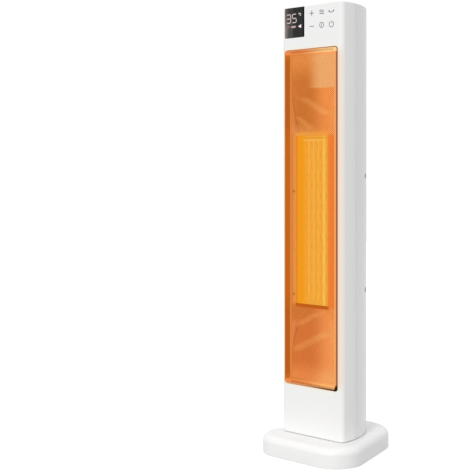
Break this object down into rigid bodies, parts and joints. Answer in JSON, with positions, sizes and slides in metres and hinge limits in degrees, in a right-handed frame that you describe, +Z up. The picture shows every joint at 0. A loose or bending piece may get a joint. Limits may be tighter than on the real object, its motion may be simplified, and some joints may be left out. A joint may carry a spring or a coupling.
{
  "type": "tower heater",
  "caption": "Slim ceramic tower heater with a mesh window over a glowing element, display and touch keys at the top, and a fan, on an oscillating base.",
  "frame": {"origin": "middle of the base's underside, on the floor plane and on the swivel axis of the tower", "axes": "+Z up along the tower, front with the mesh window towards -Y, right-hand side as seen from the front towards +X"},
  "size_m": [0.1776, 0.2026, 0.7002],
  "materials": {
    "white_plastic": "satin moulded plastic",
    "shell_grey": "satin moulded plastic",
    "rubber": "matte",
    "mesh_metal": null,
    "duct_metal": "satin sheet metal lit warm by the element",
    "element": "glowing heating element frame",
    "aluminium": "folded bare fins",
    "steel": "plated",
    "lens": "gloss black window",
    "board": "circuit board",
    "black_plastic": "satin",
    "copper": "taped copper winding",
    "acetal": "low-friction moulded plastic",
    "filter": "fine nylon mesh"
  },
  "bodies": {
    "base": {"base_plate": "black_plastic", "base_cover": "white_plastic", "foot_front_left": "rubber", "foot_front_right": "rubber", "foot_rear_left": "rubber", "foot_rear_right": "rubber", "glide_ring": "acetal", "swing_motor": "steel", "tip_switch_body": "black_plastic", "tip_switch_spring": "steel", "cord_gland": "black_plastic", "base_screw_left": "steel", "base_screw_right": "steel", "base_screw_rear": "steel"},
    "tower": {"tower_floor": "white_plastic", "sector_gear": "acetal", "front_shell": "white_plastic", "rear_shell": "shell_grey", "top_cap": "white_plastic", "front_grille": "mesh_metal", "display_lens": "lens", "display_module": "black_plastic", "control_board": "board", "heater_housing": "element", "heater_frame": "duct_metal", "heater_tube_1": "aluminium", "heater_tube_2": "aluminium", "heater_tube_3": "aluminium", "heater_tube_4": "aluminium", "heater_fins_1": "aluminium", "heater_fins_2": "aluminium", "heater_fins_3": "aluminium", "heater_fins_4": "aluminium", "heater_fins_5": "aluminium", "thermal_cutout": "black_plastic", "heater_screw_upper": "steel", "heater_screw_lower": "steel", "upper_deflector": "duct_metal", "lower_deflector": "duct_metal", "duct_scroll": "duct_metal", "duct_tongue": "duct_metal", "duct_top_plate": "duct_metal", "duct_bottom_plate": "duct_metal", "upper_bearing": "rubber", "motor_stator": "steel", "motor_coil": "copper", "motor_bracket": "steel", "power_board": "board", "rear_grille": "shell_grey", "dust_filter": "filter", "switch_housing": "black_plastic", "shell_screw_left": "steel", "shell_screw_right": "steel"},
    "swing_drive": {"swing_pinion": "acetal"},
    "tip_plunger": {"tip_switch_plunger": "acetal"},
    "fan_rotor": {"fan_wheel": "black_plastic", "fan_shaft": "steel", "motor_rotor": "steel"},
    "rocker": {"power_rocker": "black_plastic"}
  },
  "joints": [
    {"name": "tower_swing", "type": "hinge", "parent": "base", "child": "tower", "pos_m": [0, 0, 0.0335], "axis": [0, 0, 1], "range_deg": [-35, 35]},
    {"name": "pinion_spin", "type": "hinge", "parent": "base", "child": "swing_drive", "pos_m": [0, 0.0404, 0.0207], "axis": [0, 0, 1], "range_deg": [-106, 106]},
    {"name": "fan_spin", "type": "hinge", "parent": "tower", "child": "fan_rotor", "pos_m": [0, 0.01315, 0.2374], "axis": [0, 0, 1], "continuous": true},
    {"name": "tip_plunger_drop", "type": "slide", "parent": "base", "child": "tip_plunger", "axis": [0, 0, -1], "range_m": [0, 0.004], "stiffness_N_per_m": 20, "springref_m": 0.006, "deforming": ["tip_switch_spring"]},
    {"name": "power_rock", "type": "hinge", "parent": "tower", "child": "rocker", "pos_m": [0, 0.05515, 0.075], "axis": [1, 0, 0], "range_deg": [-24, 0]}
  ],
  "couplings": [
    {"joint": "pinion_spin", "follows": "tower_swing", "ratio": -3}
  ]
}
